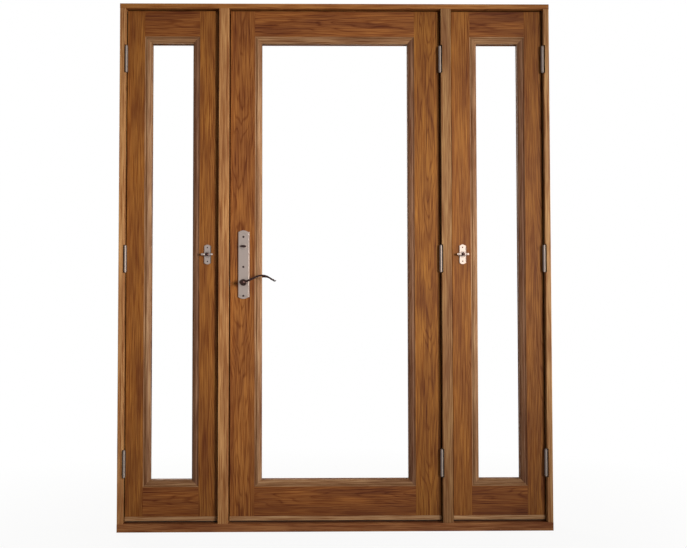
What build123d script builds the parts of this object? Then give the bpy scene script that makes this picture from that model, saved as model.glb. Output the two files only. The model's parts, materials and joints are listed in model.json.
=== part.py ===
from build123d import *
import os
from dataclasses import dataclass
from math import radians, sqrt, tan

# A timber entrance unit: one glazed door between two narrow glazed side lights that open too,
# all hung in one frame. X runs along the wall, to the right as seen from the room. Y runs from
# the room to the weather. Z runs up. The origin is the middle of the sill's underside.
# All sizes are in millimetres.

# Frame
frame_depth = 116.0
jamb_face = 21.5
mullion_face = 39.0
head_face = 19.0
sill_height = 31.5
sill_nosing = 28.0
sill_fall = 7.0
drip_width = 6.0
drip_depth = 5.0
drip_inset = 12.0
stop_rise = 12.5
frame_arris = 2.0

# Leaves
main_width = 813.0
side_width = 353.0
leaf_height = 1970.0
leaf_thickness = 44.5
leaf_recess = 25.0
side_gap = 4.0
top_gap = 4.5
bottom_gap = 6.5
seal_space = 2.5
lock_bevel_angle = 3.0
leaf_arris = 1.8
main_hinge_stile = 98.0
main_lock_stile = 95.0
side_hinge_stile = 68.0
side_lock_stile = 72.0
top_rail = 99.0
bottom_rail = 128.5
tenon_thickness = 14.0
tenon_length = 45.0
tenon_shoulder = 18.0
joint_clearance = 0.1

# Glazing
bead_width = 26.5
pane_thickness = 4.0
pane_space = 9.0
glazing_bed = 0.3
glass_clearance = 4.0
outer_lip = 10.0
lip_round = 6.5
spacer_width = 7.0
spacer_inset = 3.0
bead_valley = 4.5
bead_valley_depth = 3.0
bead_crest = 11.5
bead_crest_depth = 0.4
bead_fall = 9.5
mitre_gap = 0.05
# Where the middle of each curve of the bead lies, as shares of that curve's width and depth
quirk_middle = (0.6, 0.35)
crest_middle = (0.4, 0.7)
slope_middle = (0.55, 0.36)

# Strip and sweep along the bottom of a leaf
strip_height = 17.0
strip_thickness = 10.0
strip_proud = 2.0
strip_arris = 1.5
sweep_base = 1.5
sweep_fin = 2.0
sweep_fin_pitch = 14.0
sweep_fins = 2
sweep_margin = 2.0
sweep_clearance = 0.3

# Seals against the stops
seal_width = 8.0
seal_barb_width = 2.6
seal_barb_depth = 6.5
seal_clearance = 0.3
kerf_clearance = 0.2
seal_end_gap = 0.2

# Butt hinges
hinge_height = 100.0
hinge_count = 5
hinge_plate = 2.8
hinge_reach = 44.0
hinge_corner = 8.0
knuckle_radius = 6.5
knuckle_gap = 0.3
hinge_pin_radius = 3.0
running_clearance = 0.05
swing_clearance = 0.4
pin_offset = 14.0
pin_tip_radius = 5.4
pin_tip_height = 3.5
notch_clearance = 1.0
low_hinge_level = 219.0
middle_hinge_lift = 18.0
high_hinge_drop = 191.0

# Lock of the door
backset = 52.0
lever_level = 912.0
bolt_level = 1051.0
main_plate_width = 47.0
main_plate_low = 849.0
main_plate_high = 1113.0
main_plate_thickness = 7.5
plate_bevel = 4.5
plate_rim = 1.8
plate_shoulder = 6.0
plate_arch = 6.0
case_thickness = 16.0
case_depth = 80.0
case_below = 75.0
case_above = 40.0
faceplate_width = 22.0
faceplate_thickness = 2.5
faceplate_margin = 22.0
latch_width = 12.0
latch_height = 22.0
latch_throw = 12.0
latch_nose = 1.5
bolt_width = 12.0
bolt_height = 26.0
bolt_throw = 25.0
bolt_length = 45.0
slide_clearance = 0.3
spindle_size = 8.0
spindle_socket = 20.0
neck_radius = 8.0
collar_radius = 13.0
collar_height = 6.0
lever_reach = 52.0
lever_depth = 11.0
lever_root = 8.0
lever_rise = 25.0
lever_length = 113.5
lever_tip = 5.0
lever_curl = 7.5
# The lever's wave: points along its middle line, as shares of its length and of its rise
lever_wave = ((0, 0), (0.18, 0.2), (0.4, 0.62), (0.6, 1), (0.79, 0.94), (0.94, 0.54), (1, 0.34))
turn_shank_radius = 5.0
turn_base_radius = 10.0
turn_base_height = 3.0
turn_length = 26.0
turn_thickness = 7.0
turn_height = 15.0
cylinder_radius = 14.5
cylinder_rim = 2.5
cylinder_rim_height = 3.0
keyway_width = 2.4
keyway_height = 9.0
keyway_depth = 6.0

# Catches of the side lights
catch_backset = 40.0
catch_level = 1020.0
catch_plate_width = 29.5
catch_plate_height = 76.0
catch_plate_thickness = 5.0
catch_bevel = 3.2
catch_rim = 1.2
catch_arch = 4.0
catch_shoulder = 5.0
catch_bar_length = 46.0
catch_bar_height = 7.0
catch_bar_depth = 6.0
catch_knob_radius = 6.5
catch_reach = 22.0
catch_shank_radius = 4.0
catch_bolt_width = 8.0
catch_bolt_height = 14.0
catch_bolt_throw = 14.0
catch_bolt_length = 28.0

# Strike plates
strike_thickness = 2.0
strike_width = 30.0
strike_margin = 18.0
strike_corner = 4.0
pocket_clearance = 2.0
pocket_extra = 3.0

# Where the faces and edges lie
y_room = -frame_depth / 2
y_weather = frame_depth / 2
y_face = y_room + leaf_recess
y_back = y_face + leaf_thickness
y_middle = (y_face + y_back) / 2
y_stop = y_back + seal_space
y_pin = y_face - pin_offset
y_lip = y_back - outer_lip
y_nose = y_weather + sill_nosing
glass_pack = 2 * pane_thickness + pane_space
bead_depth = y_lip - y_face - glass_pack - 2 * glazing_bed

main_opening = main_width + 2 * side_gap
side_opening = side_width + 2 * side_gap
unit_width = main_opening + 2 * (mullion_face + side_opening + jamb_face)
x_jamb = unit_width / 2 - jamb_face
x_mullion_out = x_jamb - side_opening
x_mullion_in = x_mullion_out - mullion_face

z_leaf = sill_height + bottom_gap
z_leaf_top = z_leaf + leaf_height
z_head = z_leaf_top + top_gap
unit_height = z_head + head_face
z_light = z_leaf + bottom_rail
z_light_top = z_leaf_top - top_rail

lock_bevel = leaf_thickness * tan(radians(lock_bevel_angle))
knuckle_pitch = hinge_height / hinge_count
hinge_middles = (
    z_leaf + low_hinge_level,
    z_leaf + leaf_height / 2 + middle_hinge_lift,
    z_leaf_top - high_hinge_drop,
)
hinge_bottoms = [middle - hinge_height / 2 for middle in hinge_middles]


@dataclass
class Leaf:
    """A hinged leaf. Widths are counted from the pin's axis towards the free edge."""

    name: str
    width: float
    pin_x: float
    direction: int
    hinge_stile: float
    lock_stile: float

    def x(self, u):
        return self.pin_x + self.direction * u

    @property
    def start(self):
        return side_gap / 2

    @property
    def end(self):
        return self.start + self.width

    @property
    def rebates(self):
        return self.start + self.hinge_stile, self.end - self.lock_stile


main_leaf = Leaf(
    "main", main_width, x_mullion_in - side_gap / 2, -1, main_hinge_stile, main_lock_stile
)
right_leaf = Leaf("right", side_width, x_jamb - side_gap / 2, -1, side_hinge_stile, side_lock_stile)
left_leaf = Leaf("left", side_width, side_gap / 2 - x_jamb, 1, side_hinge_stile, side_lock_stile)
leaves = (main_leaf, right_leaf, left_leaf)

os.makedirs("parts", exist_ok=True)


def save(part, label):
    part.label = label
    export_step(part, f"parts/{label}.step")


def polygon(points, plane):
    """A closed outline with straight sides."""
    with BuildSketch(plane) as outline:
        with BuildLine():
            Polyline(*points, close=True)
        make_face()
    return outline.sketch


def block(x, y, z, mode=Mode.ADD):
    """A box between two values along each axis, in the part being built."""
    (x0, x1), (y0, y1), (z0, z1) = sorted(x), sorted(y), sorted(z)
    with BuildSketch(Plane.XY.offset(z0)) as footprint:
        with Locations(((x0 + x1) / 2, (y0 + y1) / 2)):
            Rectangle(x1 - x0, y1 - y0)
    extrude(footprint.sketch, amount=z1 - z0, mode=mode)


def upright_rod(x, y, radius, z0, z1, mode=Mode.ADD):
    with BuildSketch(Plane.XY.offset(z0)) as footprint:
        with Locations((x, y)):
            Circle(radius)
    extrude(footprint.sketch, amount=z1 - z0, mode=mode)


def cross_rod(x, z, radius, y0, y1, mode=Mode.ADD):
    """A round rod or hole through the wall, from y0 to the greater y1."""
    with BuildSketch(Plane.XZ.offset(-y1)) as end:
        with Locations((x, z)):
            Circle(radius)
    extrude(end.sketch, amount=y1 - y0, mode=mode)


# Frame members


def sill_outline():
    """The sill's section: level under the leaf, then falling to the nosing, with a drip groove."""
    nose_top = sill_height - (y_nose - y_stop) * tan(radians(sill_fall))
    drip = y_nose - drip_inset
    return [
        (y_room, 0),
        (drip - drip_width, 0),
        (drip - drip_width, drip_depth),
        (drip, drip_depth),
        (drip, 0),
        (y_nose, 0),
        (y_nose, nose_top),
        (y_stop, sill_height),
        (y_room, sill_height),
    ]


def sill():
    with BuildPart() as member:
        with BuildSketch(Plane.YZ.offset(-unit_width / 2)) as section:
            with BuildLine():
                Polyline(*sill_outline(), close=True)
            make_face()
            room_corner = section.vertices().group_by(Axis.X)[0].sort_by(Axis.Y)[-1]
            nose_corner = section.vertices().group_by(Axis.X)[-1].sort_by(Axis.Y)[-1]
            fillet([room_corner, nose_corner], frame_arris)
        extrude(amount=unit_width)
    return member.part


def kerf_sketch(across, into):
    """The slot that holds a seal's barb, cut into a stop face. Across is its middle line."""
    with Locations(across):
        Rectangle(*into, mode=Mode.SUBTRACT)


def seal_line(rabbet, inward):
    """The seal's middle, counted from the rabbet's side face towards the opening."""
    return rabbet + inward * (stop_rise - seal_width / 2)


def head():
    kerf_depth = seal_barb_depth + kerf_clearance
    with BuildPart() as member:
        with BuildSketch(Plane.YZ.offset(-unit_width / 2)) as section:
            with BuildLine():
                Polyline(
                    (y_room, z_head),
                    (y_stop, z_head),
                    (y_stop, z_head - stop_rise),
                    (y_weather, z_head - stop_rise),
                    (y_weather, unit_height),
                    (y_room, unit_height),
                    close=True,
                )
            make_face()
            fillet(section.vertices().group_by(Axis.X)[0], frame_arris)
            kerf_sketch(
                (y_stop + kerf_depth / 2, seal_line(z_head, -1)),
                (kerf_depth, seal_barb_width + 2 * kerf_clearance),
            )
        extrude(amount=unit_width)
    return member.part


def trim_post(x0, x1):
    """Cuts a post's ends so that it sits on the sill's slope and under the head's stop."""
    block((x0, x1), (y_stop, y_weather), (z_head - stop_rise, unit_height), Mode.SUBTRACT)
    sill_end = polygon(sill_outline(), Plane.YZ.offset(x0))
    extrude(sill_end, amount=x1 - x0, mode=Mode.SUBTRACT)


def post_kerf(rabbet, inward):
    """A seal's slot in the stop face of a post, in the section being drawn."""
    kerf_depth = seal_barb_depth + kerf_clearance
    kerf_sketch(
        (seal_line(rabbet, inward), y_stop + kerf_depth / 2),
        (seal_barb_width + 2 * kerf_clearance, kerf_depth),
    )


def plate_face(x, bottom, grown=0.0):
    """The outline of a hinge plate on a plane across the wall, rounded at its far corners."""
    with BuildSketch(Plane.YZ.offset(x)) as face:
        with Locations((y_pin + (hinge_reach + grown) / 2, bottom + hinge_height / 2)):
            Rectangle(hinge_reach + grown, hinge_height + 2 * grown)
        fillet(face.vertices().group_by(Axis.X)[-1], hinge_corner)
    return face.sketch


def hinge_housings(leaf, side):
    """Cuts the let-in seats of a leaf's hinges. Side is 1 in its stile and -1 in the frame."""
    depth = hinge_plate + joint_clearance
    surface = leaf.x(side * side_gap / 2)
    floor = leaf.x(side * (side_gap / 2 + depth))
    tip_room = pin_tip_height + notch_clearance
    for bottom in hinge_bottoms:
        seat = plate_face(min(surface, floor), bottom, joint_clearance)
        extrude(seat, amount=depth, mode=Mode.SUBTRACT)
        if side < 0:
            notch = knuckle_radius + notch_clearance
            with BuildSketch(Plane.XY.offset(bottom - tip_room)) as recess:
                with Locations((leaf.x(-notch / 2), (y_room + y_pin) / 2 - frame_arris)):
                    Rectangle(notch, y_pin - y_room + 2 * frame_arris)
                with Locations((leaf.pin_x, y_pin)):
                    Circle(notch)
            extrude(recess.sketch, amount=hinge_height + 2 * tip_room, mode=Mode.SUBTRACT)


def strike_seat(rabbet, into, low, high, pockets):
    """Cuts a strike plate's seat and the pockets behind it into a post's rabbet face.

    Into is the direction into the post. Pockets holds the level, width, height and depth of each.
    """
    with BuildSketch(Plane.YZ.offset(min(rabbet, rabbet + into * strike_thickness))) as seat:
        with Locations((y_middle, (low + high) / 2)):
            Rectangle(strike_width + 2 * joint_clearance, high - low + 2 * joint_clearance)
        fillet(seat.vertices(), strike_corner)
    extrude(seat.sketch, amount=strike_thickness, mode=Mode.SUBTRACT)
    for level, width, tall, depth in pockets:
        block(
            (rabbet, rabbet + into * depth),
            (y_middle - width / 2, y_middle + width / 2),
            (level - tall / 2, level + tall / 2),
            Mode.SUBTRACT,
        )


latch_z = z_leaf + lever_level
bolt_z = z_leaf + bolt_level
catch_z = z_leaf + catch_level
main_strike_low = latch_z - latch_height / 2 - strike_margin
main_strike_high = bolt_z + bolt_height / 2 + strike_margin
catch_strike_low = catch_z - catch_bolt_height / 2 - strike_margin
catch_strike_high = catch_z + catch_bolt_height / 2 + strike_margin
main_pockets = [
    (
        latch_z,
        latch_width + 2 * pocket_clearance,
        latch_height + 2 * pocket_clearance,
        latch_throw + pocket_extra,
    ),
    (
        bolt_z,
        bolt_width + 2 * pocket_clearance,
        bolt_height + 2 * pocket_clearance,
        bolt_throw + pocket_extra,
    ),
]
catch_pockets = [
    (
        catch_z,
        catch_bolt_width + 2 * pocket_clearance,
        catch_bolt_height + 2 * pocket_clearance,
        catch_bolt_throw + pocket_extra,
    ),
]


def jamb(leaf):
    """A side jamb: rabbeted for its leaf, with a raised stop towards the weather."""
    inward = leaf.direction
    back = -inward * unit_width / 2
    rabbet = -inward * x_jamb
    stop = rabbet + inward * stop_rise
    with BuildPart() as member:
        with BuildSketch(Plane.XY) as section:
            with BuildLine():
                Polyline(
                    (back, y_room),
                    (rabbet, y_room),
                    (rabbet, y_stop),
                    (stop, y_stop),
                    (stop, y_weather),
                    (back, y_weather),
                    close=True,
                )
            make_face()
            fillet(section.vertices().group_by(Axis.Y)[0], frame_arris)
            post_kerf(rabbet, inward)
        extrude(amount=z_head)
        trim_post(min(back, stop), max(back, stop))
        hinge_housings(leaf, -1)
    return member.part


def mullion(side):
    """A post between the door and a side light. Side is -1 on the left and 1 on the right."""
    door_face = side * x_mullion_in
    light_face = side * x_mullion_out
    low, high = sorted((door_face, light_face))
    with BuildPart() as member:
        with BuildSketch(Plane.XY) as section:
            with BuildLine():
                Polyline(
                    (low, y_room),
                    (high, y_room),
                    (high, y_stop),
                    (high + stop_rise, y_stop),
                    (high + stop_rise, y_weather),
                    (low - stop_rise, y_weather),
                    (low - stop_rise, y_stop),
                    (low, y_stop),
                    close=True,
                )
            make_face()
            fillet(section.vertices().group_by(Axis.Y)[0], frame_arris)
            post_kerf(low, -1)
            post_kerf(high, 1)
        extrude(amount=z_head)
        trim_post(low - stop_rise, high + stop_rise)
        strike_seat(light_face, -side, catch_strike_low, catch_strike_high, catch_pockets)
        if side == -main_leaf.direction:
            hinge_housings(main_leaf, -1)
        else:
            strike_seat(door_face, side, main_strike_low, main_strike_high, main_pockets)
    return member.part


def strike_plate(rabbet, into, low, high, pockets):
    """A flat strike plate let into a post, with a hole for each bolt."""
    start = min(rabbet, rabbet + into * strike_thickness)
    with BuildPart() as plate:
        with BuildSketch(Plane.YZ.offset(start)) as face:
            with Locations((y_middle, (low + high) / 2)):
                Rectangle(strike_width, high - low)
            fillet(face.vertices(), strike_corner)
            for level, width, tall, _ in pockets:
                with Locations((y_middle, level)):
                    Rectangle(width, tall, mode=Mode.SUBTRACT)
        extrude(amount=strike_thickness)
    return plate.part


def seal_section(across):
    """A seal's section in plan: a flat bulb on the stop face and a barb in its slot."""
    bulb = seal_space - seal_clearance
    with Locations((across, y_stop - bulb / 2)):
        Rectangle(seal_width, bulb)
    with Locations((across, y_stop + seal_barb_depth / 2)):
        Rectangle(seal_barb_width, seal_barb_depth)


def seals(leaf):
    """The three seals round one opening: one on each post and one under the head."""
    near = leaf.x(-side_gap / 2)
    far = leaf.x(leaf.end + side_gap)
    head_line = seal_line(z_head, -1)
    top = head_line - seal_width / 2 - seal_end_gap
    bulb = seal_space - seal_clearance
    with BuildPart() as strips:
        for rabbet, inward in ((near, leaf.direction), (far, -leaf.direction)):
            with BuildSketch(Plane.XY.offset(sill_height + seal_end_gap)):
                seal_section(seal_line(rabbet, inward))
            extrude(amount=top - sill_height - seal_end_gap)
        start = min(near, far) + stop_rise - seal_width
        end = max(near, far) - stop_rise + seal_width
        with BuildSketch(Plane.YZ.offset(start)):
            with Locations((y_stop - bulb / 2, head_line)):
                Rectangle(bulb, seal_width)
            with Locations((y_stop + seal_barb_depth / 2, head_line)):
                Rectangle(seal_barb_depth, seal_barb_width)
        extrude(amount=end - start)
    return strips.part


save(sill(), "sill")
save(head(), "head_jamb")
save(jamb(left_leaf), "left_jamb")
save(jamb(right_leaf), "right_jamb")
save(mullion(-1), "left_mullion")
save(mullion(1), "right_mullion")
save(
    strike_plate(-x_mullion_in, -1, main_strike_low, main_strike_high, main_pockets),
    "main_strike_plate",
)

with BuildPart() as side_strikes:
    for side in (-1, 1):
        add(
            strike_plate(
                side * x_mullion_out, -side, catch_strike_low, catch_strike_high, catch_pockets
            )
        )
save(side_strikes.part, "side_strike_plates")

for leaf in leaves:
    save(seals(leaf), f"{leaf.name}_weatherstrip")


# Hinges


def knuckles(leaf, bottom, chosen, radius, gap, mode=Mode.ADD):
    """Cylinders on the pin's axis at the chosen places along the barrel."""
    for place in chosen:
        low = bottom + place * knuckle_pitch + gap
        upright_rod(leaf.pin_x, y_pin, radius, low, low + knuckle_pitch - 2 * gap, mode)


def hinge_half(leaf, bottom, side):
    """A plate with its knuckles, bored for the pin. Side is 1 on the leaf and -1 on the frame."""
    own = range(0, hinge_count, 2) if side < 0 else range(1, hinge_count, 2)
    other = [place for place in range(hinge_count) if place not in own]
    near = leaf.x(side * side_gap / 2)
    far = leaf.x(side * (side_gap / 2 + hinge_plate))
    with BuildPart() as half:
        extrude(plate_face(min(near, far), bottom), amount=hinge_plate)
        knuckles(leaf, bottom, own, knuckle_radius, knuckle_gap / 2)
        clear = knuckle_radius + swing_clearance
        knuckles(leaf, bottom, other, clear, -knuckle_gap / 2, Mode.SUBTRACT)
        bore = hinge_pin_radius + running_clearance
        upright_rod(leaf.pin_x, y_pin, bore, bottom, bottom + hinge_height, Mode.SUBTRACT)
    return half.part


def hinge_pin(leaf, bottom):
    top = bottom + hinge_height
    with BuildPart() as pin:
        upright_rod(leaf.pin_x, y_pin, hinge_pin_radius, bottom, top)
        upright_rod(leaf.pin_x, y_pin, pin_tip_radius, top, top + pin_tip_height)
        upright_rod(leaf.pin_x, y_pin, pin_tip_radius, bottom - pin_tip_height, bottom)
        rims = pin.edges().filter_by(GeomType.CIRCLE).sort_by(Axis.Z)
        chamfer([rims[0], rims[-1]], pin_tip_height / 2)
    return pin.part


with BuildPart() as frame_hinges:
    for leaf in leaves:
        for bottom in hinge_bottoms:
            add(hinge_half(leaf, bottom, -1))
save(frame_hinges.part, "frame_hinge_plates")

with BuildPart() as hinge_pins:
    for leaf in leaves:
        for bottom in hinge_bottoms:
            add(hinge_pin(leaf, bottom))
save(hinge_pins.part, "hinge_pins")

for leaf in leaves:
    with BuildPart() as leaf_hinges:
        for bottom in hinge_bottoms:
            add(hinge_half(leaf, bottom, 1))
    save(leaf_hinges.part, f"{leaf.name}_hinge_plates")


# Leaves


def stile_section(leaf, edge, rebate, bevel):
    """A stile's section: rebated from the room for the glass, with a rounded lip behind it."""
    to_light = 1 if rebate > edge else -1
    light = rebate + to_light * bead_width
    with BuildSketch(Plane.XY.offset(z_leaf)) as section:
        with BuildLine():
            Polyline(
                (leaf.x(light - to_light * lip_round), y_back),
                (leaf.x(edge + to_light * bevel), y_back),
                (leaf.x(edge), y_face),
                (leaf.x(rebate), y_face),
                (leaf.x(rebate), y_lip),
                (leaf.x(light), y_lip),
                (leaf.x(light), y_back - lip_round),
            )
            JernArc(
                (leaf.x(light), y_back - lip_round),
                (0, 1),
                lip_round,
                leaf.direction * to_light * 90,
            )
        make_face()
        edge_side = leaf.direction * to_light
        face_corners = section.vertices().group_by(Axis.Y)[0].sort_by(Axis.X)
        outer_corner = face_corners[0] if edge_side > 0 else face_corners[-1]
        fillet(outer_corner, leaf_arris)
    return section.sketch


def rail_mortises(leaf, rebate, to_light):
    """Cuts the two mortises that take the rails' tenons."""
    for low, high in (
        (z_leaf + tenon_shoulder, z_light - tenon_shoulder),
        (z_light_top + tenon_shoulder, z_leaf_top - tenon_shoulder),
    ):
        block(
            (leaf.x(rebate), leaf.x(rebate - to_light * (tenon_length + joint_clearance))),
            (
                y_middle - tenon_thickness / 2 - joint_clearance,
                y_middle + tenon_thickness / 2 + joint_clearance,
            ),
            (low - joint_clearance, high + joint_clearance),
            Mode.SUBTRACT,
        )


def strip_rebate(x0, x1):
    """Cuts the seat of the bottom strip along the foot of a leaf."""
    depth = strip_thickness - strip_proud + joint_clearance
    block(
        (x0, x1),
        (y_face, y_face + depth),
        (z_leaf, z_leaf + strip_height + joint_clearance),
        Mode.SUBTRACT,
    )


def hinge_stile(leaf):
    rebate = leaf.rebates[0]
    with BuildPart() as member:
        extrude(stile_section(leaf, leaf.start, rebate, 0), amount=leaf_height)
        rail_mortises(leaf, rebate, 1)
        strip_rebate(leaf.x(leaf.start), leaf.x(rebate))
        hinge_housings(leaf, 1)
    return member.part


case_end = main_leaf.end - lock_bevel / 2 - tan(radians(lock_bevel_angle)) * faceplate_width / 2
hub_u = main_leaf.end - backset
hub_x = main_leaf.x(hub_u)
case_low = latch_z - case_below
case_high = bolt_z + case_above
face_low = case_low - faceplate_margin
face_high = case_high + faceplate_margin
case_back_u = main_leaf.end - case_depth


def lock_mortise():
    """Cuts the lock case's seat, the bores through the stile and the faceplate's seat."""
    half = case_thickness / 2 + joint_clearance
    block(
        (main_leaf.x(case_back_u - joint_clearance), main_leaf.x(main_leaf.end)),
        (y_middle - half, y_middle + half),
        (case_low - joint_clearance, case_high + joint_clearance),
        Mode.SUBTRACT,
    )
    block(
        (main_leaf.x(case_end - faceplate_thickness), main_leaf.x(main_leaf.end)),
        (
            y_middle - faceplate_width / 2 - joint_clearance,
            y_middle + faceplate_width / 2 + joint_clearance,
        ),
        (face_low - joint_clearance, face_high + joint_clearance),
        Mode.SUBTRACT,
    )
    cross_rod(hub_x, latch_z, neck_radius + pocket_clearance, y_face, y_back, Mode.SUBTRACT)
    cross_rod(
        hub_x, bolt_z, turn_shank_radius + pocket_clearance, y_face, y_middle, Mode.SUBTRACT
    )
    cross_rod(hub_x, bolt_z, cylinder_radius + joint_clearance, y_middle, y_back, Mode.SUBTRACT)


def catch_bores(leaf):
    """Cuts the catch bolt's channel in from the edge and the bore for its turn."""
    u = leaf.end - catch_backset
    half_width = catch_bolt_width / 2 + slide_clearance
    half_height = catch_bolt_height / 2 + slide_clearance
    block(
        (leaf.x(leaf.end), leaf.x(u - catch_shank_radius - slide_clearance)),
        (y_middle - half_width, y_middle + half_width),
        (catch_z - half_height, catch_z + half_height),
        Mode.SUBTRACT,
    )
    bore = catch_shank_radius + slide_clearance
    cross_rod(leaf.x(u), catch_z, bore, y_face, y_middle + half_width, Mode.SUBTRACT)


def lock_stile(leaf):
    rebate = leaf.rebates[1]
    with BuildPart() as member:
        extrude(stile_section(leaf, leaf.end, rebate, lock_bevel), amount=leaf_height)
        rail_mortises(leaf, rebate, -1)
        strip_rebate(leaf.x(leaf.end), leaf.x(rebate))
        if leaf is main_leaf:
            lock_mortise()
        else:
            catch_bores(leaf)
    return member.part


def rail(leaf, outer, rebate, stiles):
    """A rail between the stiles, with a tenon at each end and its ends scribed over the lips."""
    to_light = 1 if rebate > outer else -1
    light = rebate + to_light * bead_width
    ends = sorted(leaf.x(u) for u in leaf.rebates)
    low, high = sorted((outer, rebate))
    with BuildPart() as member:
        with BuildSketch(Plane.YZ.offset(ends[0])):
            with BuildLine():
                Polyline(
                    (y_back, light - to_light * lip_round),
                    (y_back, outer),
                    (y_face, outer),
                    (y_face, rebate),
                    (y_lip, rebate),
                    (y_lip, light),
                    (y_back - lip_round, light),
                )
                JernArc((y_back - lip_round, light), (1, 0), lip_round, -to_light * 90)
            make_face()
        extrude(amount=ends[1] - ends[0])
        for stile in stiles:
            add(stile, mode=Mode.SUBTRACT)
        block(
            (ends[0] - tenon_length, ends[1] + tenon_length),
            (y_middle - tenon_thickness / 2, y_middle + tenon_thickness / 2),
            (low + tenon_shoulder, high - tenon_shoulder),
        )
        if to_light > 0:
            strip_rebate(*ends)
    return member.part


def bead_outline(place):
    """The bead's section in the line being drawn: a quirk by the stile, a crest, a slope to the glass.

    Place turns a width from the outer edge and a depth from the leaf's face into a point.
    """
    knots = (
        (joint_clearance, 0),
        (bead_valley, bead_valley_depth),
        (bead_crest, bead_crest_depth),
        (bead_width, bead_fall),
    )
    for start, end, middle in zip(knots, knots[1:], (quirk_middle, crest_middle, slope_middle)):
        width = start[0] + (end[0] - start[0]) * middle[0]
        depth = start[1] + (end[1] - start[1]) * middle[1]
        ThreePointArc(place(*start), place(width, depth), place(*end))
    Polyline(
        place(*knots[-1]),
        place(bead_width, bead_depth),
        place(joint_clearance, bead_depth),
        place(*knots[0]),
    )


def bead_length(outer, inner, low, high, upright):
    """One mitred length of bead. Outer and inner are its edges, low and high its outer ends."""
    step = 1 if inner > outer else -1
    start = low + mitre_gap
    with BuildPart() as length:
        plane = Plane.XY.offset(start) if upright else Plane.YZ.offset(start)
        with BuildSketch(plane):
            with BuildLine():
                if upright:
                    bead_outline(lambda width, depth: (outer + step * width, y_face + depth))
                else:
                    bead_outline(lambda width, depth: (y_face + depth, outer + step * width))
            make_face()
        extrude(amount=high - low - 2 * mitre_gap)
        corners = [
            (outer, low + mitre_gap),
            (outer, high - mitre_gap),
            (inner, high - mitre_gap - bead_width),
            (inner, low + mitre_gap + bead_width),
        ]
        if not upright:
            corners = [(along, across) for across, along in corners]
        mitres = polygon(corners, Plane.XZ.offset(-y_face - bead_depth))
        extrude(mitres, amount=bead_depth, mode=Mode.INTERSECT)
    return length.part


def glazing_bead(leaf):
    """The four mitred lengths that hold the glass from the room."""
    left, right = sorted(leaf.x(u) for u in leaf.rebates)
    low, high = z_light, z_light_top
    with BuildPart() as lengths:
        add(bead_length(left, left + bead_width, low, high, True))
        add(bead_length(right, right - bead_width, low, high, True))
        add(bead_length(low, low + bead_width, left, right, False))
        add(bead_length(high, high - bead_width, left, right, False))
    return lengths.part


def glass(leaf):
    """Two panes with a sealed space between them."""
    left, right = sorted(leaf.x(u) for u in leaf.rebates)
    span = (left + glass_clearance, right - glass_clearance)
    rise = (z_light + glass_clearance, z_light_top - glass_clearance)
    outer = y_lip - glazing_bed
    inner = outer - glass_pack
    with BuildPart() as panes:
        block(span, (outer - pane_thickness, outer), rise)
        block(span, (inner, inner + pane_thickness), rise)
    return panes.part


def glass_spacer(leaf):
    """The hollow bar round the edge of the panes, here one closed ring."""
    left, right = sorted(leaf.x(u) for u in leaf.rebates)
    edge = glass_clearance + spacer_inset
    outer = y_lip - glazing_bed - pane_thickness
    wide, tall = right - left - 2 * edge, z_light_top - z_light - 2 * edge
    with BuildPart() as ring:
        with BuildSketch(Plane.XZ.offset(-outer)):
            with Locations(((left + right) / 2, (z_light + z_light_top) / 2)):
                Rectangle(wide, tall)
                Rectangle(wide - 2 * spacer_width, tall - 2 * spacer_width, mode=Mode.SUBTRACT)
        extrude(amount=pane_space)
    return ring.part


def bottom_strip(leaf):
    """The strip along the foot of the leaf, a little proud of its face."""
    left, right = sorted((leaf.x(leaf.start), leaf.x(leaf.end)))
    front = y_face - strip_proud
    with BuildPart() as strip:
        with BuildSketch(Plane.YZ.offset(left)) as section:
            with Locations((front + strip_thickness / 2, z_leaf + strip_height / 2)):
                Rectangle(strip_thickness, strip_height)
            fillet(section.vertices().group_by(Axis.X)[0], strip_arris)
        extrude(amount=right - left)
    return strip.part


def sweep(leaf):
    """The flexible sweep under the leaf: a base strip with fins that nearly reach the sill."""
    left, right = sorted((leaf.x(leaf.start), leaf.x(leaf.end - lock_bevel)))
    reach = bottom_gap - sweep_clearance
    span = (sweep_fins - 1) * sweep_fin_pitch
    with BuildPart() as seal:
        with BuildSketch(Plane.YZ.offset(left)):
            with Locations((y_middle, z_leaf - sweep_base / 2)):
                Rectangle(span + sweep_fin + 2 * sweep_margin, sweep_base)
            with Locations((y_middle, z_leaf - reach / 2)):
                with GridLocations(sweep_fin_pitch, 0, sweep_fins, 1):
                    Rectangle(sweep_fin, reach)
        extrude(amount=right - left)
    return seal.part


for leaf in leaves:
    stiles = hinge_stile(leaf), lock_stile(leaf)
    save(stiles[0], f"{leaf.name}_hinge_stile")
    save(stiles[1], f"{leaf.name}_lock_stile")
    save(rail(leaf, z_leaf_top, z_light_top, stiles), f"{leaf.name}_top_rail")
    save(rail(leaf, z_leaf, z_light, stiles), f"{leaf.name}_bottom_rail")
    save(glazing_bead(leaf), f"{leaf.name}_glazing_bead")
    save(glass(leaf), f"{leaf.name}_glass")
    save(glass_spacer(leaf), f"{leaf.name}_glass_spacer")
    save(bottom_strip(leaf), f"{leaf.name}_bottom_strip")
    save(sweep(leaf), f"{leaf.name}_sweep")


# Lock of the door


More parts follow.
